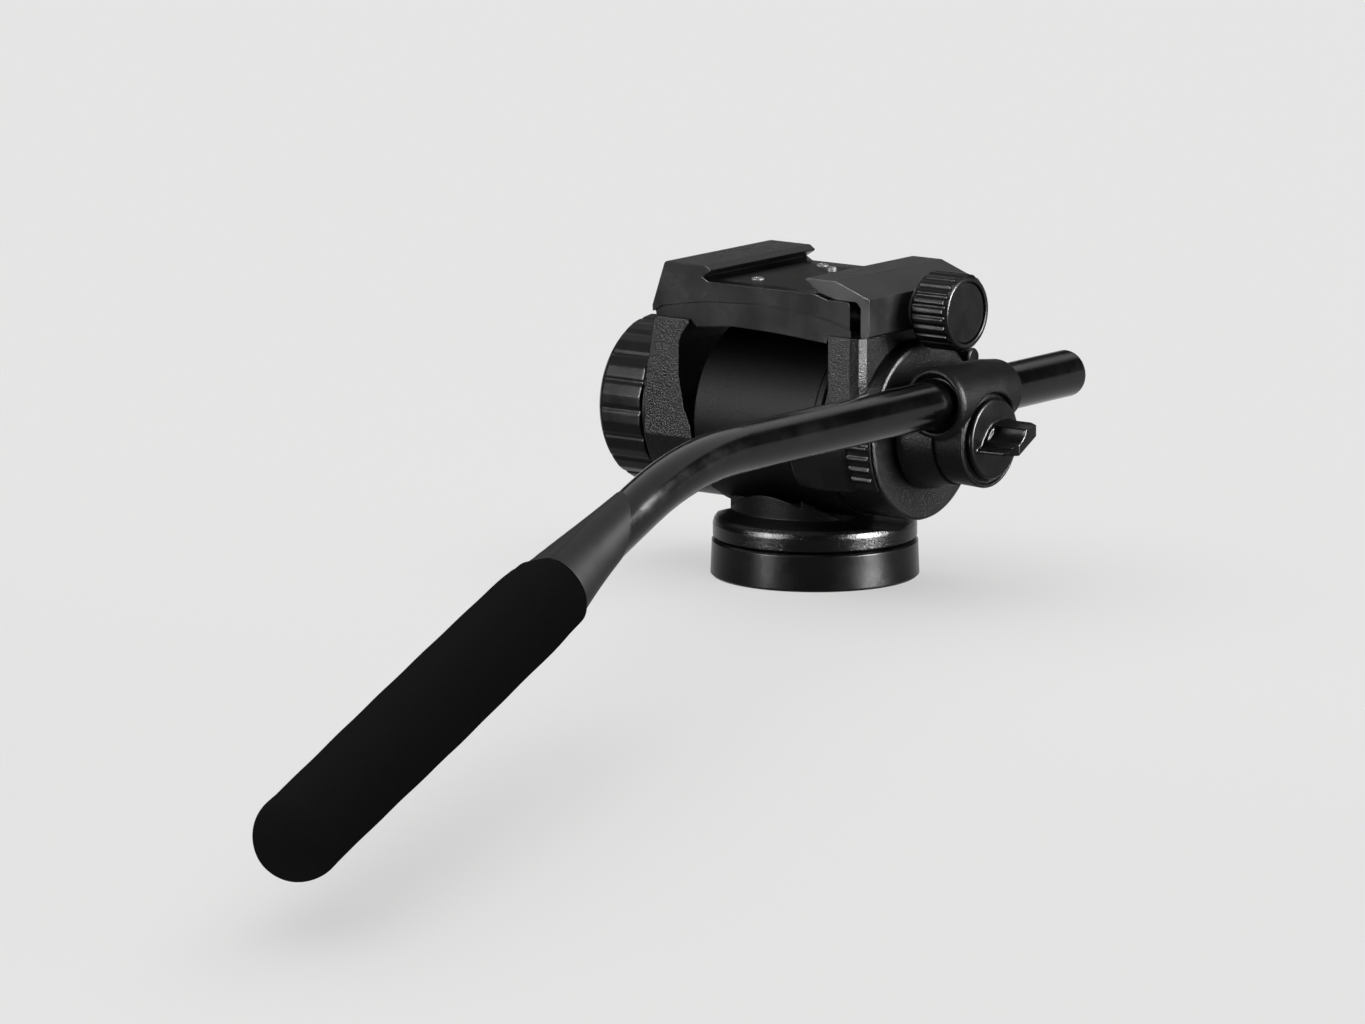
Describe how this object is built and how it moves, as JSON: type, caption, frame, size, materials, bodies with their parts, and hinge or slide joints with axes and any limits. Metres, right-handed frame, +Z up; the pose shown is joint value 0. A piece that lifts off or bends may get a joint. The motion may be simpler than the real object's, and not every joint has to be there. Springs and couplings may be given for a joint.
{
  "type": "pan tilt head",
  "caption": "Small two-way pan and tilt head with a bent pan handle and foam grip, a sliding-jaw plate clamp on top and knobs for drag and locking.",
  "frame": {"origin": "centre of the flat underside of the base, at the mouth of the mounting thread", "axes": "X along the tilt axle towards the handle side, +Y from the operator towards the lens, Z up"},
  "size_m": [0.1368, 0.3641, 0.1228],
  "materials": {
    "black_paint": "matte",
    "black_anodised": "satin",
    "grey_metal": "satin",
    "steel": "satin",
    "black_tube": "satin",
    "black_plastic": "matte",
    "nylon": "matte",
    "foam": "matte"
  },
  "bodies": {
    "base": {"base_plate": "black_anodised", "pan_spindle": "steel", "thread_insert": "steel", "pan_drag_ring": "nylon", "spindle_nut": "steel", "base_screw_1": "steel", "base_screw_2": "steel", "base_screw_3": "steel"},
    "pan": {"pan_housing": "black_paint", "drum_cap_left": "grey_metal", "drum_cap_right": "grey_metal", "drag_plate": "nylon", "pan_brake_shoe": "nylon"},
    "pan_lock": {"pan_lock_knob": "black_plastic", "pan_lock_screw": "steel"},
    "tilt": {"left_arm": "black_paint", "right_arm": "black_paint", "side_disc": "black_paint", "plate_receiver": "black_anodised", "wear_plate": "grey_metal", "floor_screw_1": "steel", "floor_screw_2": "steel", "floor_screw_3": "steel", "floor_screw_4": "steel", "tilt_shaft": "steel", "drag_rotor": "grey_metal", "shaft_collar": "grey_metal", "handle_stud": "steel", "friction_washer": "nylon"},
    "drag": {"drag_knob": "black_plastic", "drag_knob_flange": "black_plastic", "drag_knob_cap": "black_plastic"},
    "tilt_lock": {"lock_ring": "black_plastic", "lock_lever": "black_plastic"},
    "release": {"release_button": "black_plastic"},
    "safety": {"safety_pin": "steel"},
    "jaw": {"clamp_jaw": "black_anodised", "jaw_pin_1": "steel", "jaw_pin_2": "steel", "jaw_washer": "nylon"},
    "jaw_turn": {"jaw_knob": "black_plastic", "jaw_screw": "steel", "jaw_knob_cap": "black_plastic"},
    "clamp": {"bar_hub": "black_paint", "bar_clamp": "black_paint"},
    "wing": {"wing_knob": "black_plastic", "wing_screw": "steel"},
    "bush": {"bar_bush": "black_plastic"},
    "bar": {"bar_tube": "black_tube", "tube_plug": "black_plastic", "grip_sleeve": "black_plastic", "grip_core": "black_plastic", "foam_grip": "foam"}
  },
  "joints": [
    {"name": "pan_turn", "type": "hinge", "parent": "base", "child": "pan", "pos_m": [0, 0, 0], "axis": [0, 0, 1], "continuous": true},
    {"name": "pan_lock_turn", "type": "hinge", "parent": "pan", "child": "pan_lock", "pos_m": [0, 0.0316, 0.0144], "axis": [0, 1, 0], "range_deg": [0, 270]},
    {"name": "tilt_turn", "type": "hinge", "parent": "pan", "child": "tilt", "pos_m": [0, 0, 0.046], "axis": [1, 0, 0], "range_deg": [-90, 75]},
    {"name": "drag_turn", "type": "hinge", "parent": "tilt", "child": "drag", "pos_m": [-0.0445, 0, 0.046], "axis": [-1, 0, 0], "range_deg": [0, 300]},
    {"name": "tilt_lock_turn", "type": "hinge", "parent": "tilt", "child": "tilt_lock", "pos_m": [0, 0, 0.046], "axis": [1, 0, 0], "range_deg": [0, 20]},
    {"name": "release_push", "type": "slide", "parent": "tilt", "child": "release", "axis": [-1, 0, 0], "range_m": [0, 0.002], "stiffness_N_per_m": 200, "springref_m": -0.001},
    {"name": "pin_drop", "type": "slide", "parent": "tilt", "child": "safety", "axis": [0, 0, -1], "range_m": [0, 0.002]},
    {"name": "jaw_slide", "type": "slide", "parent": "tilt", "child": "jaw", "axis": [1, 0, 0], "range_m": [-0.0012, 0.0025]},
    {"name": "jaw_knob_turn", "type": "hinge", "parent": "jaw", "child": "jaw_turn", "pos_m": [0.04, 0, 0.0814], "axis": [1, 0, 0], "range_deg": [-541, 1126]},
    {"name": "clamp_swing", "type": "hinge", "parent": "tilt", "child": "clamp", "pos_m": [0, 0, 0.046], "axis": [1, 0, 0], "range_deg": [-20, 20]},
    {"name": "wing_turn", "type": "hinge", "parent": "clamp", "child": "wing", "pos_m": [0.0615, 0, 0.046], "axis": [1, 0, 0], "range_deg": [-120, 120]},
    {"name": "bar_roll", "type": "hinge", "parent": "clamp", "child": "bush", "pos_m": [0.053, 0, 0.0573], "axis": [0, 1, 0], "continuous": true},
    {"name": "bar_slide", "type": "slide", "parent": "bush", "child": "bar", "axis": [0, 1, 0], "range_m": [-0.03, 0.085]}
  ],
  "couplings": [
    {"joint": "pin_drop", "follows": "release_push", "ratio": 1},
    {"joint": "jaw_knob_turn", "follows": "jaw_slide", "rad_per_m": 7854}
  ]
}
